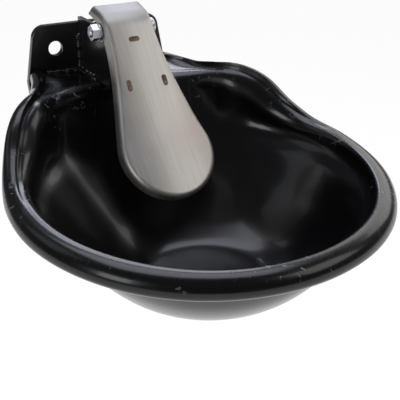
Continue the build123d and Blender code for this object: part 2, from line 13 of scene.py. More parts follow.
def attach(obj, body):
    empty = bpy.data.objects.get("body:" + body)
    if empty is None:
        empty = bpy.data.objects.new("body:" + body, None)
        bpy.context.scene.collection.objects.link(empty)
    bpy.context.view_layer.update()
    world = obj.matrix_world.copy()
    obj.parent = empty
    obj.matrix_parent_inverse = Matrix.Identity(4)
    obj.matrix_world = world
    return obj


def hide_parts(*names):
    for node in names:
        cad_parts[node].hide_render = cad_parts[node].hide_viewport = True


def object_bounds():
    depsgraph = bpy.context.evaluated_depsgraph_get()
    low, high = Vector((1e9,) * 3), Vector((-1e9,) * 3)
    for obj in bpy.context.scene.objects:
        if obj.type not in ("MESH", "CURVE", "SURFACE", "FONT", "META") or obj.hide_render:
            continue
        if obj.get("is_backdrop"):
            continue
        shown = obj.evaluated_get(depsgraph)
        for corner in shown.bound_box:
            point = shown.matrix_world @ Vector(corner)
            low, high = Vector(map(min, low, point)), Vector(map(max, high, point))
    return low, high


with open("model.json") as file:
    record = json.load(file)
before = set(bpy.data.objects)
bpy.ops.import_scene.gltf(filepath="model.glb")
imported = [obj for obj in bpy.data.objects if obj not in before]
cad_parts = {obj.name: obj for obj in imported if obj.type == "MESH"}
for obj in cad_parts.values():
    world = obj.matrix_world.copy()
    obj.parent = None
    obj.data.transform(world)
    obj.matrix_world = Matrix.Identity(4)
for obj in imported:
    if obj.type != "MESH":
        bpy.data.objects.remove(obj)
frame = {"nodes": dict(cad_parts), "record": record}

MM = 0.001
log = logging.getLogger("drinking_bowl")

Colour = tuple[float, float, float]
Plan = tuple[float, float]
ATLAS: dict[str, bpy.types.Material] = {}


# ---- shader bench ------------------------------------------------------------------
@dataclass(frozen=True)
class Signal:
    """A number put out by a shader node, which Python's own arithmetic works on."""

    bench: "Bench"
    socket: bpy.types.NodeSocket

    def _with(self, operation: str, *others: "Signal | float") -> "Signal":
        """Add one Math node.

        Args:
            operation: The Math node's operation.
            others: Further inputs after this signal.

        Returns:
            The node's output.
        """
        return self.bench.math(operation, self, *others)

    def __add__(self, other: "Signal | float") -> "Signal":
        """Sum.

        Args:
            other: The other value.

        Returns:
            The sum.
        """
        return self._with("ADD", other)

    def __radd__(self, other: float) -> "Signal":
        """Sum with the number first.

        Args:
            other: The other value.

        Returns:
            The sum.
        """
        return self._with("ADD", other)

    def __sub__(self, other: "Signal | float") -> "Signal":
        """Difference.

        Args:
            other: The other value.

        Returns:
            The difference.
        """
        return self._with("SUBTRACT", other)

    def __rsub__(self, other: float) -> "Signal":
        """Difference with the number first.

        Args:
            other: The other value.

        Returns:
            The difference.
        """
        return self.bench.math("SUBTRACT", other, self)

    def __mul__(self, other: "Signal | float") -> "Signal":
        """Product.

        Args:
            other: The other value.

        Returns:
            The product.
        """
        return self._with("MULTIPLY", other)

    def __rmul__(self, other: float) -> "Signal":
        """Product with the number first.

        Args:
            other: The other value.

        Returns:
            The product.
        """
        return self._with("MULTIPLY", other)

    def __abs__(self) -> "Signal":
        """Size without its sign.

        Returns:
            The size.
        """
        return self._with("ABSOLUTE")

    def step(self, low: float, high: float) -> "Signal":
        """Ease from 0 to 1.

        Args:
            low: Value that gives 0.
            high: Value that gives 1; it may be below low.

        Returns:
            The eased value.
        """
        ends = (low, high, 0.0, 1.0) if low < high else (high, low, 1.0, 0.0)
        names = ("From Min", "From Max", "To Min", "To Max")
        values = dict(zip(names, ends)) | {"Value": self}
        made = self.bench.node("ShaderNodeMapRange", {"interpolation_type": "SMOOTHSTEP"}, values)
        return Signal(self.bench, made.outputs["Result"])


class Bench:
    """Builds the node tree of one material around its Principled shader."""

    def __init__(self, name: str) -> None:
        """Start an empty tree.

        Args:
            name: The material's name.
        """
        self.material = bpy.data.materials.new(name)
        self.material.use_nodes = True
        self.tree = self.material.node_tree
        self.tree.nodes.clear()
        self.shader = self.node("ShaderNodeBsdfPrincipled")
        out = self.node("ShaderNodeOutputMaterial", None, {"Surface": self.shader.outputs[0]})
        out.target = "ALL"
        self.place = self.node("ShaderNodeTexCoord").outputs["Object"]

    def node(
        self, kind: str, settings: dict | None = None, values: dict | None = None
    ) -> bpy.types.Node:
        """Add any node.

        Args:
            kind: The node's type.
            settings: Properties, set before the sockets; "stops" fills a colour ramp.
            values: Input sockets by name or number, each a constant, a socket or a signal.

        Returns:
            The node.
        """
        made = self.tree.nodes.new(kind)
        for key, value in (settings or {}).items():
            if key == "stops":
                self._fill_ramp(made.color_ramp, value)
            else:
                setattr(made, key, value)
        for key, value in (values or {}).items():
            self.feed(made.inputs[key], value)
        return made

    @staticmethod
    def _fill_ramp(ramp: bpy.types.ColorRamp, stops: Sequence[tuple[float, Colour]]) -> None:
        """Give a colour ramp its stops.

        Args:
            ramp: The ramp, which starts with two elements.
            stops: Position and colour of each stop.
        """
        while len(ramp.elements) < len(stops):
            ramp.elements.new(1.0)
        for element, (position, colour) in zip(ramp.elements, stops):
            element.position = position
            element.color = (*colour, 1.0)

    def feed(self, target: bpy.types.NodeSocket, value: object) -> None:
        """Set or link one input.

        Args:
            target: The input socket.
            value: A constant, a socket or a signal.
        """
        if isinstance(value, Signal):
            self.tree.links.new(value.socket, target)
        elif isinstance(value, bpy.types.NodeSocket):
            self.tree.links.new(value, target)
        elif target.type == "RGBA" and len(value) == 3:
            target.default_value = (*value, 1.0)
        else:
            target.default_value = value

    def math(self, operation: str, *values: Signal | float) -> Signal:
        """Add a Math node.

        Args:
            operation: Its operation.
            values: Its inputs in order.

        Returns:
            Its output.
        """
        made = self.node("ShaderNodeMath", {"operation": operation}, dict(enumerate(values)))
        return Signal(self, made.outputs[0])

    def stretched(
        self, stretch: Sequence[float], turn: Sequence[float] = (0, 0, 0)
    ) -> bpy.types.NodeSocket:
        """Object coordinates turned and then scaled along each axis.

        Args:
            stretch: Scale along X, Y and Z.
            turn: Rotation in degrees.

        Returns:
            The vector socket.
        """
        turned = self.node(
            "ShaderNodeMapping",
            {"vector_type": "POINT"},
            {"Vector": self.place, "Rotation": tuple(math.radians(a) for a in turn)},
        )
        scaled = self.node(
            "ShaderNodeMapping", None, {"Vector": turned.outputs[0], "Scale": tuple(stretch)}
        )
        return scaled.outputs[0]

    def noise(
        self,
        scale: float,
        detail: float = 3.0,
        rough: float = 0.5,
        where: bpy.types.NodeSocket | None = None,
        warp: float = 0.0,
    ) -> Signal:
        """Smooth random field.

        Args:
            scale: Repeats per metre.
            detail: Octaves.
            rough: Strength of the finer octaves.
            where: Coordinates, or the object's own.
            warp: Distortion.

        Returns:
            The field from 0 to 1.
        """
        values = {
            "Vector": where or self.place,
            "Scale": scale,
            "Detail": detail,
            "Roughness": rough,
            "Distortion": warp,
        }
        return Signal(self, self.node("ShaderNodeTexNoise", None, values).outputs[0])

    def cells(self, scale: float, where: bpy.types.NodeSocket | None = None) -> Signal:
        """Distance to the nearest of scattered points.

        Args:
            scale: Points per metre.
            where: Coordinates, or the object's own.

        Returns:
            The distance, in cells.
        """
        values = {"Vector": where or self.place, "Scale": scale}
        return Signal(self, self.node("ShaderNodeTexVoronoi", None, values).outputs["Distance"])

    def axis(self, name: str) -> Signal:
        """One of the object's own coordinates.

        Args:
            name: "X", "Y" or "Z".

        Returns:
            The coordinate in metres.
        """
        split = self.node("ShaderNodeSeparateXYZ", None, {0: self.place})
        return Signal(self, split.outputs[name])

    def reach(self, centre: Sequence[float], squash: Sequence[float] = (1, 1, 1)) -> Signal:
        """Distance from a point, measured with each axis scaled.

        Args:
            centre: The point in metres.
            squash: Scale of each axis.

        Returns:
            The distance.
        """
        away = self.node(
            "ShaderNodeVectorMath", {"operation": "SUBTRACT"}, {0: self.place, 1: tuple(centre)}
        )
        shaped = self.node(
            "ShaderNodeVectorMath", {"operation": "MULTIPLY"}, {0: away.outputs[0], 1: tuple(squash)}
        )
        size = self.node("ShaderNodeVectorMath", {"operation": "LENGTH"}, {0: shaped.outputs[0]})
        return Signal(self, size.outputs["Value"])

    def blend(
        self, amount: Signal, low: bpy.types.NodeSocket | Colour, high: bpy.types.NodeSocket | Colour
    ) -> bpy.types.NodeSocket:
        """Mix two colours.

        Args:
            amount: 0 gives low, 1 gives high.
            low: First colour.
            high: Second colour.

        Returns:
            The mixed colour.
        """
        made = self.node(
            "ShaderNodeMix", {"data_type": "RGBA"}, {"Factor": amount, 6: low, 7: high}
        )
        return made.outputs[2]

    def relief(
        self, height: Signal, depth: float, strength: float = 1.0,
        under: bpy.types.NodeSocket | None = None,
    ) -> bpy.types.NodeSocket:
        """Bump from a height field.

        Args:
            height: Field from 0 to 1.
            depth: Height of 1 in metres.
            strength: Share of the effect.
            under: Normal that the bump lies on, or the surface's own.

        Returns:
            The normal.
        """
        values = {"Height": height, "Distance": depth, "Strength": strength}
        if under is not None:
            values["Normal"] = under
        return self.node("ShaderNodeBump", None, values).outputs[0]

    def finish(self, **sockets: object) -> bpy.types.Material:
        """Feed the Principled shader and hand over the material.

        Args:
            sockets: Inputs, with underscores for the spaces in their names.

        Returns:
            The material.
        """
        for name, value in sockets.items():
            self.feed(self.shader.inputs[name.replace("_", " ")], value)
        return self.material


# ---- finishes ------------------------------------------------------------------------
@dataclass(frozen=True)
class Enamel:
    """Gloss black paint with orange peel, rub marks, chips and a little dust; on the weld bead a
    pale chip colour over the whole surface turns these marks into painted glints.
    """

    name: str
    black: Colour = (0.0022, 0.0022, 0.0026)
    grey: Colour = (0.0050, 0.0050, 0.0058)
    # Colour of chips, rub marks and dust specks; where it is pale, as on the weld bead, it paints
    # glints.
    chip_and_glint: Colour = (0.20, 0.20, 0.22)
    gloss: float = 0.17
    centre_y: float = -0.160
    rim_r: float = 0.117
    all_over: float = 0.0
    peel_scale: float = 420.0
    rim_band: Plan = (0.012, 0.003)
    chip_edge: Plan = (0.625, 0.66)
    chip_gather: Plan = (0.46, 0.60)
    rub_share: float = 0.30
    depth: float = 0.00010
    specular: float = 0.42
    varnish: float = 0.20
    varnish_rough: float = 0.06

    def make(self) -> bpy.types.Material:
        """Build the material.

        Returns:
            The painted finish.
        """
        b = Bench(self.name)
        drift = b.noise(9.0, 3.0, 0.5)
        peel = b.noise(self.peel_scale, 2.0, 0.4)
        ripple = b.noise(60.0, 2.0, 0.5, warp=0.6)
        streaks = b.noise(38.0, 4.0, 0.6, b.stretched((9.0, 1.2, 1.2), (0, 0, 28)))
        plan = b.reach((0.0, self.centre_y, 0.0), (1.0, 1.0, 0.0))
        on_rim = b.math("MAXIMUM", abs(plan - self.rim_r).step(*self.rim_band), self.all_over)
        specks_and_glints = b.cells(900.0).step(0.16, 0.05) * b.noise(30.0, 2.0).step(0.60, 0.72)
        rubbed = streaks.step(0.62, 0.78) * on_rim * drift.step(0.45, 0.60)
        clusters = b.noise(24.0, 1.0).step(*self.chip_gather)
        chips_and_glints = b.noise(190.0, 3.0, 0.6, warp=0.8).step(*self.chip_edge) * on_rim * clusters
        colour = b.blend(drift.step(0.3, 0.7), self.black, self.grey)
        # On the bowl these are real wear and dust; on the weld bead the pale chip colour makes them
        # painted glints.
        colour = b.blend(rubbed * self.rub_share, colour, self.chip_and_glint)
        colour = b.blend(chips_and_glints, colour, self.chip_and_glint)
        colour = b.blend(specks_and_glints * 0.5, colour, self.chip_and_glint)
        rough = self.gloss + 0.10 * drift + 0.10 * streaks * on_rim + 0.25 * rubbed + 0.20 * chips_and_glints
        height = 0.06 * peel + 0.9 * ripple - 0.35 * chips_and_glints
        return b.finish(
            Base_Color=colour,
            Roughness=rough,
            Normal=b.relief(height, self.depth, 0.6),
            Specular_IOR_Level=self.specular,
            Coat_Weight=self.varnish - 0.18 * rubbed,
            Coat_Roughness=self.varnish_rough,
        )


@dataclass(frozen=True)
class Brushed:
    """Metal with a fine grain along one direction and small pits, with an optional painted
    reflection patch and painted shade over the top.
    """

    name: str
    light: Colour
    dark: Colour
    grain: tuple[float, float, float] = (900.0, 60.0, 60.0)
    turn: tuple[float, float, float] = (0.0, 0.0, 0.0)
    rough: float = 0.30
    # Painted reflection: tint is the colour of a patch painted around one point.
    tint: Colour | None = None
    reflection_centre: tuple[float, float, float] = (0.0, 0.0, 0.0)
    reflection_reach: float = 0.03
    crown_r: float = 0.0
    # Painted shade: a darker colour blended over the top of the part, above the given height.
    top_shade: Colour | None = None
    top_shade_z: tuple[float, float] = (0.080, 0.089)

    def make(self) -> bpy.types.Material:
        """Build the material.

        Returns:
            The brushed finish.
        """
        b = Bench(self.name)
        along = b.stretched(self.grain, self.turn)
        fine = b.noise(1.0, 4.0, 0.62, along)
        broad = b.noise(1.0, 2.0, 0.5, b.stretched([g * 0.12 for g in self.grain], self.turn))
        cloud = b.noise(22.0, 3.0, 0.5)
        pits = b.cells(1500.0).step(0.12, 0.04) * b.noise(50.0, 1.0).step(0.55, 0.70)
        shade = 0.45 * fine + 0.25 * broad + 0.30 * cloud
        colour = b.blend(shade.step(0.30, 0.70), self.dark, self.light)
        # Painted reflection: a pinkish patch blended in around one point, standing in for a
        # reflected highlight.
        if self.tint:
            reflection_share = b.reach(self.reflection_centre).step(self.reflection_reach, 0.0)
            colour = b.blend(reflection_share * 0.5, colour, self.tint)
        # Painted shade: the top roll is darkened here to tone down its bright reflection.
        if self.top_shade:
            colour = b.blend(b.axis("Z").step(*self.top_shade_z), colour, self.top_shade)
        rough = self.rough + 0.16 * fine + 0.08 * cloud - 0.08 * pits
        crown = None
        if self.crown_r:
            across = b.axis("X")
            crown = b.relief(across * across * (-0.5 / self.crown_r), 1.0)
        return b.finish(
            Base_Color=colour,
            Roughness=rough,
            Metallic=1.0,
            Normal=b.relief(fine - 0.4 * pits, 0.00004, 0.5, crown),
        )


@dataclass(frozen=True)
class HeatMark:
    """Plug weld: brown and straw heat colours over rough fused metal."""

    name: str

    def make(self) -> bpy.types.Material:
        """Build the material.

        Returns:
            The heat-marked finish.
        """
        b = Bench(self.name)
        mottle = b.noise(420.0, 4.0, 0.6)
        bands = b.node(
            "ShaderNodeValToRGB",
            {
                "stops": (
                    (0.25, (0.045, 0.035, 0.030)),
                    (0.45, (0.150, 0.090, 0.060)),
                    (0.60, (0.260, 0.200, 0.150)),
                    (0.75, (0.130, 0.170, 0.180)),
                )
            },
            {"Fac": mottle},
        )
        return b.finish(
            Base_Color=bands.outputs[0],
            Roughness=0.38 + 0.25 * mottle,
            Metallic=0.8,
            Normal=b.relief(b.noise(800.0, 3.0, 0.6), 0.00015, 0.8),
        )


@dataclass(frozen=True)
class Moulded:
    """Plastic, rubber or plated metal with a faint mottled surface."""

    name: str
    base: Colour
    shade: Colour
    rough: float
    metallic: float = 0.0
    texture: float = 350.0
    depth: float = 0.00004

    def make(self) -> bpy.types.Material:
        """Build the material.

        Returns:
            The moulded finish.
        """
        b = Bench(self.name)
        cloud = b.noise(self.texture * 0.15, 3.0, 0.5)
        fine = b.noise(self.texture, 3.0, 0.6)
        spots = b.cells(self.texture * 2.0).step(0.2, 0.05) * cloud.step(0.5, 0.7)
        colour = b.blend(cloud.step(0.3, 0.7), self.base, self.shade)
        colour = b.blend(spots * 0.4, colour, self.shade)
        return b.finish(
            Base_Color=colour,
            Roughness=self.rough + 0.15 * fine,
            Metallic=self.metallic,
            Normal=b.relief(fine, self.depth, 0.6),
        )


class Coat(Enum):
    """Every finish on the bowl, by the material slot it stands for."""

    BLACK_ENAMEL = Enamel("black_enamel")
    BLACK_PLATE = Enamel(
        "black_plate", (0.0105, 0.0105, 0.0110), (0.0200, 0.0200, 0.0210), gloss=0.24, rim_r=0.30
    )
    # Painted glints: the pale chip colour, spread over the whole bead, paints glints onto the weld.
    WELD_BEAD = Enamel("weld_bead", chip_and_glint=(0.55, 0.55, 0.56), gloss=0.13, all_over=1.0)
    STAINLESS = Brushed(
        "stainless",
        (0.70, 0.67, 0.63),
        (0.52, 0.495, 0.465),
        grain=(700.0, 22.0, 22.0),
        turn=(35.5, 0.0, 0.0),
        rough=0.36,
        # Painted reflection: a pinkish patch on the tongue's right middle.
        tint=(0.62, 0.50, 0.47),
        reflection_centre=(0.024, -0.112, 0.013),
        reflection_reach=0.030,
        crown_r=0.12,
        # Painted shade over the tongue's top roll.
        top_shade=(0.295, 0.285, 0.275),
    )
    WELD_MARK = HeatMark("weld_mark")
    NYLON = Moulded("nylon", (0.72, 0.72, 0.69), (0.60, 0.60, 0.56), 0.40)
    ZINC = Brushed(
        "zinc", (0.74, 0.75, 0.78), (0.52, 0.54, 0.58), grain=(300.0, 300.0, 300.0), rough=0.24
    )
    BRASS = Brushed(
        "brass", (0.78, 0.60, 0.30), (0.55, 0.40, 0.18), grain=(90.0, 90.0, 1200.0), rough=0.26
    )
    STEM_STEEL = Brushed(
        "stem_steel", (0.68, 0.68, 0.68), (0.50, 0.50, 0.51), grain=(90.0, 1200.0, 90.0)
    )
    RUBBER = Moulded("rubber", (0.018, 0.018, 0.018), (0.035, 0.035, 0.035), 0.55)
    SPRING_STEEL = Brushed(
        "spring_steel", (0.58, 0.58, 0.60), (0.38, 0.38, 0.40), grain=(600.0, 600.0, 600.0)
    )
    WHITE_PLASTIC = Moulded("white_plastic", (0.80, 0.82, 0.84), (0.66, 0.70, 0.74), 0.32)
    BLUE_RUBBER = Moulded("blue_rubber", (0.04, 0.17, 0.66), (0.02, 0.10, 0.45), 0.42)

    def material(self) -> bpy.types.Material:
        """The finish's material, made once.

        Returns:
            The material.
        """
        if self.value.name not in ATLAS:
            ATLAS[self.value.name] = self.value.make()
        return ATLAS[self.value.name]


# ---- shapes ----------------------------------------------------------------------------
class Bend:
    """Smooth curve through given points of one value against another."""

    def __init__(self, *points: Plan) -> None:
        """Keep the points in order.

        Args:
            points: Pairs of position and value, with rising positions.
        """
        self.points = points

    def __call__(self, at: float) -> float:
        """Value at a position, held level past the ends.

        Args:
            at: The position.

        Returns:
            The value there.
        """
        pts = self.points
        if at <= pts[0][0]:
            return pts[0][1]
        if at >= pts[-1][0]:
            return pts[-1][1]
        i = next(k for k in range(1, len(pts)) if at <= pts[k][0])
        (x0, y0), (x1, y1) = pts[i - 1], pts[i]
        width = x1 - x0
        t = (at - x0) / width
        m0, m1 = self._slope(i - 1) * width, self._slope(i) * width
        rise = (2 * t**3 - 3 * t**2 + 1) * y0 + (3 * t**2 - 2 * t**3) * y1
        return rise + (t**3 - 2 * t**2 + t) * m0 + (t**3 - t**2) * m1

    def _slope(self, i: int) -> float:
        """Slope at one point.

        Args:
            i: The point's number.

        Returns:
            The slope between its neighbours, weighted by the nearer one.
        """
        pts = self.points
        if i in (0, len(pts) - 1):
            return 0.0
        before = (pts[i][1] - pts[i - 1][1]) / (pts[i][0] - pts[i - 1][0])
        after = (pts[i + 1][1] - pts[i][1]) / (pts[i + 1][0] - pts[i][0])
        w_before, w_after = pts[i + 1][0] - pts[i][0], pts[i][0] - pts[i - 1][0]
        return (before * w_before + after * w_after) / (w_before + w_after)


LOBE_SHARE = Bend((22.0, 1.0), (38.0, 0.55), (56.0, 0.0))
SKIRT: tuple[Plan, ...] = ((0.5, 0.35), (1.6, 0.68), (3.2, 0.90), (5.2, 1.0))


def start_ring(
    bm: bmesh.types.BMesh, sides: int
) -> tuple[list[bmesh.types.BMVert], list[bmesh.types.BMEdge]]:
    """Begin a tube or sheet with one closed circle of unit radius.

    Args:
        bm: The mesh it is added to.
        sides: How many vertices the circle has.

    Returns:
        The circle's vertices in order, and its edges.
    """
    verts = bmesh.ops.create_circle(bm, cap_ends=True, segments=sides, radius=1.0)["verts"]
    return verts, list(dict.fromkeys(e for v in verts for e in v.link_edges))


def grow_ring(
    bm: bmesh.types.BMesh, loop: Sequence[bmesh.types.BMVert], edges: Sequence[bmesh.types.BMEdge]
) -> tuple[list[bmesh.types.BMVert], list[bmesh.types.BMEdge]]:
    """Extrude a closed ring once.

    Args:
        bm: The mesh it belongs to.
        loop: The ring's vertices in order.
        edges: The ring's edges.

    Returns:
        The new ring's vertices in the old order, and its edges.
    """
    grown = bmesh.ops.extrude_edge_only(bm, edges=edges)["geom"]
    new = {g for g in grown if isinstance(g, bmesh.types.BMVert)}
    rim = [
        g for g in grown if isinstance(g, bmesh.types.BMEdge) and all(v in new for v in g.verts)
    ]
    verts = [next(e.other_vert(v) for e in v.link_edges if e.other_vert(v) in new) for v in loop]
    return verts, rim


class Piece:
    """A new mesh piece: a bmesh that becomes one dressed object of the frame."""

    def __init__(self, name: str) -> None:
        """Open an empty mesh.

        Args:
            name: The piece's name.
        """
        self.name = name
        self.bm = bmesh.new()

    def close(self, body: str, coat: Coat, slot: str, stands_for: Iterable[str]) -> bpy.types.Object:
        """Turn the mesh into an object that rides on a body.

        Args:
            body: The body that carries it.
            coat: Its finish.
            slot: The record's material slot; not used.
            stands_for: Nodes that it replaces.

        Returns:
            The object.
        """
        bmesh.ops.remove_doubles(self.bm, verts=self.bm.verts, dist=0.002 * MM)
        bmesh.ops.recalc_face_normals(self.bm, faces=self.bm.faces)
        mesh = bpy.data.meshes.new(self.name)
        self.bm.to_mesh(mesh)
        self.bm.free()
        for face in mesh.polygons:
            face.use_smooth = True
        made = bpy.data.objects.new(self.name, mesh)
        bpy.context.scene.collection.objects.link(made)
        made.data.materials.append(coat.material())
        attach(made, body)
        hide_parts(*stands_for)
        log.info("%s: %d faces on %s", self.name, len(mesh.polygons), body)
        return made


@dataclass(frozen=True)
class WallRing:
    """One level circle that the drawn wall passes through, lengths in millimetres.

    The basin's circles move forward of the mouth's as they go down. The lobe swells them a
    little towards the wall plate.
    """

    radius: float
    height: float
    forward: float
    swell: float = 0.0

    def reach(self, side: float) -> float:
        """Distance from the mouth's axis to the circle.

        Args:
            side: Angle from the wall side, 0 to 180 degrees.

        Returns:
            The distance.
        """
        angle = math.radians(side)
        chord = math.sqrt(self.radius**2 - (self.forward * math.sin(angle)) ** 2)
        return chord - self.forward * math.cos(angle) + self.swell * LOBE_SHARE(side)


@dataclass
class Bowl:
    """The deep-drawn bowl: basin, lobe, flange and saddle rim in one pressed sheet.

    Lengths are millimetres. Angles run from the wall side of the basin's axis, in degrees.
    """

    axis_y: float = -160.0
    columns: int = 288
    sheet: float = 3.0
    skirt: float = 13.4
    wall_steps: int = 30
    crest_steps: int = 5
    roll_steps: int = 8
    knee_z: float = 2.0
    plate_y: float = -5.0
    edge_round: float = 0.7
    edge_angle: float = 55.0
    mouth_roll_share: float = 0.26
    edge_roll_share: float = 0.64
    flare_power: float = 1.5
    plan_step: float = 0.75
    rings: tuple[WallRing, ...] = (
        WallRing(24.0, -67.2, 9.3),
        WallRing(39.4, -66.2, 9.3),
        WallRing(54.6, -59.5, 9.3),
        WallRing(82.4, -33.4, 9.3, 1.0),
        WallRing(98.0, -10.5, 5.6, 1.0),
    )
    saddle: Bend = Bend(
        (-284.0, 4.5), (-215.0, 7.4), (-160.0, 10.7), (-123.0, 15.0), (-108.0, 22.4),
        (-93.0, 34.6), (-77.0, 40.4), (-60.0, 38.6), (-42.0, 36.0),
    )
    mouth: Bend = Bend(
        (0.0, 116.5), (15.0, 118.2), (24.0, 119.2), (30.0, 118.6), (36.0, 115.6),
        (43.0, 111.6), (51.0, 110.4), (63.0, 110.2), (90.0, 110.0), (180.0, 110.0),
    )
    outline: Bend = Bend(
        (0.0, 175.0), (10.0, 178.7), (17.0, 178.0), (20.3, 165.3), (23.9, 152.2),
        (30.3, 138.0), (37.0, 128.6), (44.0, 124.2), (52.0, 123.2), (66.0, 123.4),
        (90.0, 124.0), (180.0, 124.0),
    )
    mouth_roll: Bend = Bend((0.0, 7.0), (30.0, 6.5), (52.0, 4.2), (180.0, 4.2))
    mouth_in: Bend = Bend(
        (0.0, 3.0), (20.0, 5.0), (58.0, 5.0), (85.0, 2.4), (115.0, 0.2), (180.0, 0.0),
    )
    mouth_drop: Bend = Bend(
        (0.0, 11.0), (20.0, 13.0), (58.0, 12.0), (85.0, 6.5), (115.0, 3.6), (180.0, 3.4),
    )
    flare: Bend = Bend(
        (0.0, 0.0), (13.0, 0.5), (19.0, 5.5), (32.0, 5.5), (46.0, 4.5), (62.0, 3.0), (95.0, 0.0),
    )
    edge_roll: Bend = Bend((0.0, 7.0), (26.0, 7.0), (60.0, 9.5), (90.0, 10.4), (180.0, 10.4))
    edge_fall: Bend = Bend((0.0, 7.0), (26.0, 7.0), (60.0, 8.5), (90.0, 9.0), (180.0, 9.0))

    def build(self) -> bpy.types.Object:
        """Draw the sheet ring by ring, cut it at the wall plate and give it its wall.

        Returns:
            The bowl.
        """
        piece = Piece("bowl_drawn_shell")
        rings = [self.ring(station) for station in range(self.stations())]
        loop, edges = start_ring(piece.bm, self.columns)
        self.settle(loop, rings[0])
        for ring in rings[1:]:
            loop, edges = grow_ring(piece.bm, loop, edges)
            self.settle(loop, ring)
        geometry = [*piece.bm.verts, *piece.bm.edges, *piece.bm.faces]
        bmesh.ops.bisect_plane(
            piece.bm, geom=geometry, dist=1e-6, plane_co=(0, self.plate_y * MM, 0),
            plane_no=(0, 1, 0), clear_outer=True,
        )
        made = piece.close("frame", Coat.BLACK_ENAMEL, "black_enamel", ["bowl_shell"])
        wall = made.modifiers.new("wall", "SOLIDIFY")
        wall.thickness = self.sheet * MM
        wall.offset = -1.0
        edge = made.modifiers.new("edge", "BEVEL")
        edge.width = self.edge_round * MM
        edge.segments = 2
        edge.limit_method = "ANGLE"
        edge.angle_limit = math.radians(self.edge_angle)
        return made

    @staticmethod
    def settle(verts: Sequence[bmesh.types.BMVert], places: Sequence[Vector]) -> None:
        """Move a ring's vertices to their places.

        Args:
            verts: The ring, in order.
            places: One place each, in millimetres.
        """
        for vert, place in zip(verts, places):
            vert.co = place * MM

    @property
    def centre(self) -> Vector:
        """Axis of the mouth's circle, seen from above.

        Returns:
            The axis, at height 0.
        """
        return Vector((0.0, self.axis_y, 0.0))

    def stations(self) -> int:
        """How many rings the sheet has from floor to skirt.

        Returns:
            The number.
        """
        return self.wall_steps + 1 + 2 * self.roll_steps + self.crest_steps + len(SKIRT)

    def plan(self, curve: Bend, turn: float) -> Vector:
        """Point of a plan curve.

        Args:
            curve: Radius against angle, for one side.
            turn: Angle in degrees, 0 to 360.

        Returns:
            The point seen from above.
        """
        side = turn if turn <= 180 else 360 - turn
        radius, angle = curve(side), math.radians(turn)
        return Vector((radius * math.sin(angle), self.axis_y + radius * math.cos(angle), 0))

    def outward(self, curve: Bend, turn: float) -> Vector:
        """Unit normal of a plan curve, pointing away from the basin.

        Args:
            curve: Radius against angle.
            turn: Angle in degrees.

        Returns:
            The normal.
        """
        ahead, behind = (turn + self.plan_step) % 360, (turn - self.plan_step) % 360
        run = self.plan(curve, ahead) - self.plan(curve, behind)
        return Vector((-run.y, run.x, 0)).normalized()

    def ring(self, station: int) -> list[Vector]:
        """All points of one ring.

        Args:
            station: The ring's number from the floor outwards.

        Returns:
            One point per column.
        """
        return [self.point(station, 360.0 * k / self.columns) for k in range(self.columns)]

    def point(self, station: int, turn: float) -> Vector:
        """One point of the sheet.

        Args:
            station: The ring's number.
            turn: The column's angle in degrees.

        Returns:
            The point in millimetres.
        """
        side = turn if turn <= 180 else 360 - turn
        width = self.outline(side) - self.mouth(side)
        inner_r = min(self.mouth_roll(side), self.mouth_roll_share * width)
        outer_r = min(self.edge_roll(side), self.edge_roll_share * width)
        if station <= self.wall_steps:
            return self.wall_point(station / self.wall_steps, side, turn)
        mouth, outline = self.plan(self.mouth, turn), self.plan(self.outline, turn)
        inner = mouth + self.outward(self.mouth, turn) * inner_r
        foot = mouth + (self.centre - mouth).normalized() * self.mouth_in(side)
        edge_out = self.outward(self.outline, turn)
        outer = outline - edge_out * outer_r
        step = station - self.wall_steps
        if step <= self.roll_steps:
            quarter = math.radians(90.0 * step / self.roll_steps)
            spot = inner.lerp(foot, math.cos(quarter))
            return self.lift(spot, -self.mouth_drop(side) * (1 - math.sin(quarter)))
        step -= self.roll_steps
        if step <= self.crest_steps:
            share = step / self.crest_steps
            return self.lift(inner.lerp(outer, share), self.flare(side) * share**self.flare_power)
        step -= self.crest_steps
        if step <= self.roll_steps:
            quarter = math.radians(90.0 * step / self.roll_steps)
            spot = outer.lerp(outline, math.sin(quarter))
            fall = self.edge_fall(side) * (1 - math.cos(quarter))
            return self.lift(spot, self.flare(side) - fall)
        tuck, share = SKIRT[step - self.roll_steps - 1]
        drop = self.edge_fall(side) + share * (self.skirt - self.edge_fall(side))
        return self.lift(outline - edge_out * tuck, self.flare(side) - drop)

    def lift(self, spot: Vector, drop: float) -> Vector:
        """Raise a plan point to the rim's saddle.

        Args:
            spot: The point seen from above.
            drop: Height over the crest.

        Returns:
            The point in space.
        """
        return Vector((spot.x, spot.y, self.saddle(spot.y) + drop))

    def wall_point(self, share: float, side: float, turn: float) -> Vector:
        """Point of the inside wall, on a curve from the floor up to the mouth.

        Args:
            share: 0 at the floor's edge and 1 at the mouth.
            side: The column's angle from the wall side, 0 to 180 degrees.
            turn: The column's angle all round in degrees.

        Returns:
            The point in millimetres.
        """
        top_r = self.mouth(side) - self.mouth_in(side)
        top_y = self.axis_y + top_r * math.cos(math.radians(side))
        top = (top_r, self.saddle(top_y) - self.mouth_drop(side))
        knots = [(ring.reach(side), ring.height) for ring in self.rings]
        lobe = LOBE_SHARE(side)
        knee_z = min(self.knee_z, top[1] - 1.5)
        knots.append((
            (1 - lobe) * top[0] + lobe * (knots[-1][0] + 0.5 * (top[0] - knots[-1][0])),
            (1 - lobe) * knee_z + lobe * (knots[-1][1] + 0.5 * (top[1] - knots[-1][1])),
        ))
        knots.append(top)
        along = [0.0]
        for (r0, z0), (r1, z1) in zip(knots, knots[1:]):
            along.append(along[-1] + math.hypot(r1 - r0, z1 - z0))
        at = share * along[-1]
        radius = Bend(*((d, k[0]) for d, k in zip(along, knots)))(at)
        height = Bend(*((d, k[1]) for d, k in zip(along, knots)))(at)
        angle = math.radians(turn)
        return Vector((radius * math.sin(angle), self.axis_y + radius * math.cos(angle), height))


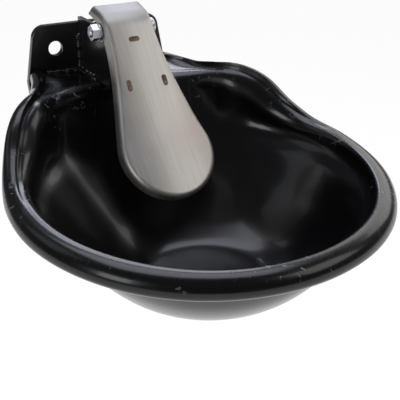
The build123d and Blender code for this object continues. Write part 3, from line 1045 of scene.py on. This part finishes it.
@dataclass
class Weld:
    """A fillet bead with the overlapping ripples of a hand weld, lengths in millimetres."""

    name: str
    node: str
    routes: tuple[tuple[Vector, Vector, Vector], ...]
    leg: float = 3.2
    pitch: float = 1.6
    sides: int = 14
    steps_per_ripple: int = 5
    fewest_steps: int = 8
    flatness: float = 0.86

    def build(self) -> bpy.types.Object:
        """Lay each run as a chain of rings that swell and shrink.

        Returns:
            The bead.
        """
        piece = Piece(self.name)
        for start, end, normal in self.routes:
            self.run(piece.bm, start, end, normal.normalized())
        return piece.close("frame", Coat.WELD_BEAD, "weld_bead", [self.node])

    def run(self, bm: bmesh.types.BMesh, start: Vector, end: Vector, normal: Vector) -> None:
        """One straight run of bead.

        Args:
            bm: The mesh it is added to.
            start: Its first point, in the corner it fills.
            end: Its last point.
            normal: Direction out of the corner.
        """
        along = (end - start).normalized()
        across = along.cross(normal).normalized()
        lie = Matrix((across, normal, along)).transposed()
        length = (end - start).length
        steps = max(self.fewest_steps, int(length / self.pitch * self.steps_per_ripple))
        verts, edges = start_ring(bm, self.sides)
        shape = [v.co.copy() for v in verts]
        for k in range(steps + 1):
            if k:
                verts, edges = grow_ring(bm, verts, edges)
            share = k / steps
            size = self.swell(share * length, length)
            place = start + (end - start) * share
            for vert, co in zip(verts, shape):
                flat = Vector((co.x * size, co.y * size * self.flatness, 0.0))
                vert.co = (place + lie @ flat) * MM
        bmesh.ops.contextual_create(bm, geom=edges)

    def swell(self, run: float, length: float) -> float:
        """Radius of the bead along its run.

        Args:
            run: Distance from the start.
            length: Length of the run.

        Returns:
            The radius.
        """
        ripple = 0.14 * abs(math.sin(math.pi * run / self.pitch)) ** 0.7
        wander = 0.15 * math.sin(run * 0.83 + length) + 0.10 * math.sin(run * 0.31)
        ends = min(1.0, 0.35 + run / self.leg, 0.35 + (length - run) / self.leg)
        return self.leg * (0.92 + ripple + wander) * ends


# ---- scene -------------------------------------------------------------------------------
class Dresser:
    """Gives the carried-over nodes their finishes."""

    coats = {coat.value.name: coat for coat in Coat}

    def dress(self) -> None:
        """Put each node's slot finish on its mesh."""
        slots = {row["node"]: row["material_slot"] for row in frame["record"]["subparts"]}
        for node, obj in frame["nodes"].items():
            coat = self.coats[slots[node]]
            obj.data.materials.clear()
            obj.data.materials.append(coat.material())
            log.info("%s dressed in %s", node, coat.value.name)


@dataclass(frozen=True)
class Softbox:
    """A rectangular lamp that looks at the bowl."""

    name: str
    place: tuple[float, float, float]
    size: tuple[float, float]
    power: float
    tint: Colour = (1.0, 1.0, 1.0)
    target: tuple[float, float, float] = (0.0, -0.15, 0.0)

    def hang(self) -> None:
        """Make the lamp and aim it."""
        lamp = bpy.data.lights.new(self.name, "AREA")
        lamp.shape = "RECTANGLE"
        lamp.size, lamp.size_y = self.size
        lamp.energy = self.power
        lamp.color = self.tint
        made = bpy.data.objects.new(self.name, lamp)
        made.location = self.place
        aim = Vector(self.target) - Vector(self.place)
        made.rotation_euler = aim.to_track_quat("-Z", "Y").to_euler()
        bpy.context.scene.collection.objects.link(made)


@dataclass(frozen=True)
class Studio:
    """White sweep, soft lamps and the camera."""

    floor_z: float = -0.42
    lens: float = 63.0
    eye: tuple[float, float, float] = (-0.2120, -0.5086, 0.1975)
    azimuth: float = -31.28
    elevation: float = 27.36
    roll: float = 0.58
    sensor: float = 36.0
    nearest: float = 0.01
    floor_half: float = 6.0
    floor_colour: Colour = (0.30, 0.30, 0.30)
    floor_rough: float = 0.7
    floor_share: float = 0.80
    floor_glow: float = 1.20
    sky_tint: Colour = (0.92, 0.95, 1.0)
    sky_strength: float = 0.10
    lamps: tuple[Softbox, ...] = (
        Softbox("lamp_top", (0.15, 0.25, 1.25), (1.1, 0.9), 8.4, (0.86, 0.89, 1.0)),
        Softbox("lamp_back", (0.55, 0.95, 0.86), (0.6, 0.45), 4.4, (0.84, 0.88, 1.0)),
        Softbox("lamp_right", (1.15, 0.35, 0.60), (1.1, 0.6), 3.8, (1.0, 0.98, 0.95)),
        Softbox("lamp_front", (0.85, -0.95, 0.95), (0.9, 0.7), 3.5, (1.0, 0.98, 0.95)),
        Softbox("lamp_left", (-0.9, 0.5, 0.95), (0.6, 0.6), 0.6, (0.93, 0.96, 1.0)),
        Softbox("lamp_edge", (-1.2, -0.55, 0.45), (0.4, 0.5), 2.4, (0.95, 0.97, 1.0)),
    )

    def set_up(self) -> None:
        """Build the whole studio."""
        self.light_world()
        self.lay_floor()
        for lamp in self.lamps:
            lamp.hang()
        self.place_camera()
        bpy.context.scene.view_settings.view_transform = "Standard"

    def light_world(self) -> None:
        """White for the camera and plain grey light for everything else."""
        world = bpy.data.worlds.new("studio")
        bpy.context.scene.world = world
        world.use_nodes = True
        tree = world.node_tree
        tree.nodes.clear()
        rays = tree.nodes.new("ShaderNodeLightPath")
        plain, seen = (tree.nodes.new("ShaderNodeBackground") for _ in range(2))
        plain.inputs["Color"].default_value = (*self.sky_tint, 1.0)
        plain.inputs["Strength"].default_value = self.sky_strength
        seen.inputs["Color"].default_value = (1.0, 1.0, 1.0, 1.0)
        mix, out = tree.nodes.new("ShaderNodeMixShader"), tree.nodes.new("ShaderNodeOutputWorld")
        tree.links.new(rays.outputs["Is Camera Ray"], mix.inputs[0])
        tree.links.new(plain.outputs[0], mix.inputs[1])
        tree.links.new(seen.outputs[0], mix.inputs[2])
        tree.links.new(mix.outputs[0], out.inputs["Surface"])

    def lay_floor(self) -> None:
        """Pale floor below the hanging bowl, almost white to the camera and in reflections."""
        bm = bmesh.new()
        bmesh.ops.create_grid(bm, x_segments=1, y_segments=1, size=self.floor_half)
        bmesh.ops.translate(bm, verts=bm.verts, vec=(0, 0, self.floor_z))
        mesh = bpy.data.meshes.new("floor")
        bm.to_mesh(mesh)
        bm.free()
        floor = bpy.data.objects.new("floor", mesh)
        bpy.context.scene.collection.objects.link(floor)
        bench = Bench("floor_white")
        white = {"Color": (1.0, 1.0, 1.0), "Strength": self.floor_glow}
        glow = bench.node("ShaderNodeEmission", None, white)
        rays = bench.node("ShaderNodeLightPath").outputs
        seen = Signal(bench, rays["Is Camera Ray"])
        for kind in ("Is Glossy Ray", "Is Transmission Ray"):
            seen = seen + Signal(bench, rays[kind])
        mix = bench.node(
            "ShaderNodeMixShader",
            None,
            {0: seen * self.floor_share, 1: bench.shader.outputs[0], 2: glow.outputs[0]},
        )
        out = next(n for n in bench.tree.nodes if n.type == "OUTPUT_MATERIAL")
        bench.feed(out.inputs["Surface"], mix.outputs[0])
        mesh.materials.append(
            bench.finish(Base_Color=self.floor_colour, Roughness=self.floor_rough)
        )
        floor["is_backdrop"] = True

    def place_camera(self) -> None:
        """Put the camera at its fitted place."""
        data = bpy.data.cameras.new("camera")
        data.lens = self.lens
        data.sensor_width = self.sensor
        data.clip_start = self.nearest
        cam = bpy.data.objects.new("camera", data)
        bpy.context.scene.collection.objects.link(cam)
        tilt, pan = math.radians(90 - self.elevation), math.radians(self.azimuth)
        turn = Euler((tilt, 0, pan), "XYZ").to_matrix()
        roll = Matrix.Rotation(math.radians(self.roll), 3, "Z")
        cam.matrix_world = Matrix.Translation(self.eye) @ (turn @ roll).to_4x4()
        bpy.context.scene.camera = cam


# Edges of the corners that the beads fill, in millimetres.
PLATE_FACE = -5.0
FLANGE_TOP = 36.0
FLANGE_UNDER = 33.0
CHEEK_FACE = 15.8
FLANGE_BEAD_END = 52.1
CHEEK_BEAD_TOP = 66.0
CHEEK_BEAD_FRONT = -35.0
UNDER_BEAD_HALF = 45.0


def weld_beads() -> list[Weld]:
    """Beads of the bracket: plate to flange, plate to cheek, cheek to flange, and below.

    Returns:
        The three weld pieces.
    """
    beads = []
    for side, name in ((-1, "left"), (1, "right")):
        cheek = side * CHEEK_FACE
        root = Vector((cheek, PLATE_FACE, FLANGE_TOP))
        outer_end = Vector((side * FLANGE_BEAD_END, PLATE_FACE, FLANGE_TOP))
        upper_end = Vector((cheek, PLATE_FACE, CHEEK_BEAD_TOP))
        front_end = Vector((cheek, CHEEK_BEAD_FRONT, FLANGE_TOP))
        routes = (
            (root, outer_end, Vector((0, -1, 1))),
            (root, upper_end, Vector((side, -1, 0))),
            (root, front_end, Vector((side, 0, 1))),
        )
        beads.append(Weld(f"{name}_weld_bead", f"{name}_weld", routes))
    left = Vector((-UNDER_BEAD_HALF, PLATE_FACE, FLANGE_UNDER))
    right = Vector((UNDER_BEAD_HALF, PLATE_FACE, FLANGE_UNDER))
    under = ((left, right, Vector((0, -1, -1))),)
    beads.append(Weld("under_weld_bead", "under_weld", under))
    return beads


def plain_box(box: Sequence[Sequence[float]]) -> list[list[float]]:
    """Corners as plain lists of numbers.

    Args:
        box: The lowest and the highest corner.

    Returns:
        The same corners.
    """
    return [[float(v) for v in c] for c in box]


def main(measure: Callable[[], Sequence[Sequence[float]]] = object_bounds) -> None:
    """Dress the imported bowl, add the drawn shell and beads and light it.

    Args:
        measure: Gives the lowest and highest corner of what is shown.
    """
    logging.basicConfig(level=logging.INFO, format="%(name)s: %(message)s")
    cad_box = plain_box(measure())
    Studio().set_up()
    Dresser().dress()
    Bowl().build()
    for bead in weld_beads():
        bead.build()
    {"cad": cad_box, "visual": plain_box(measure())}


if __name__ == "__main__":
    main()
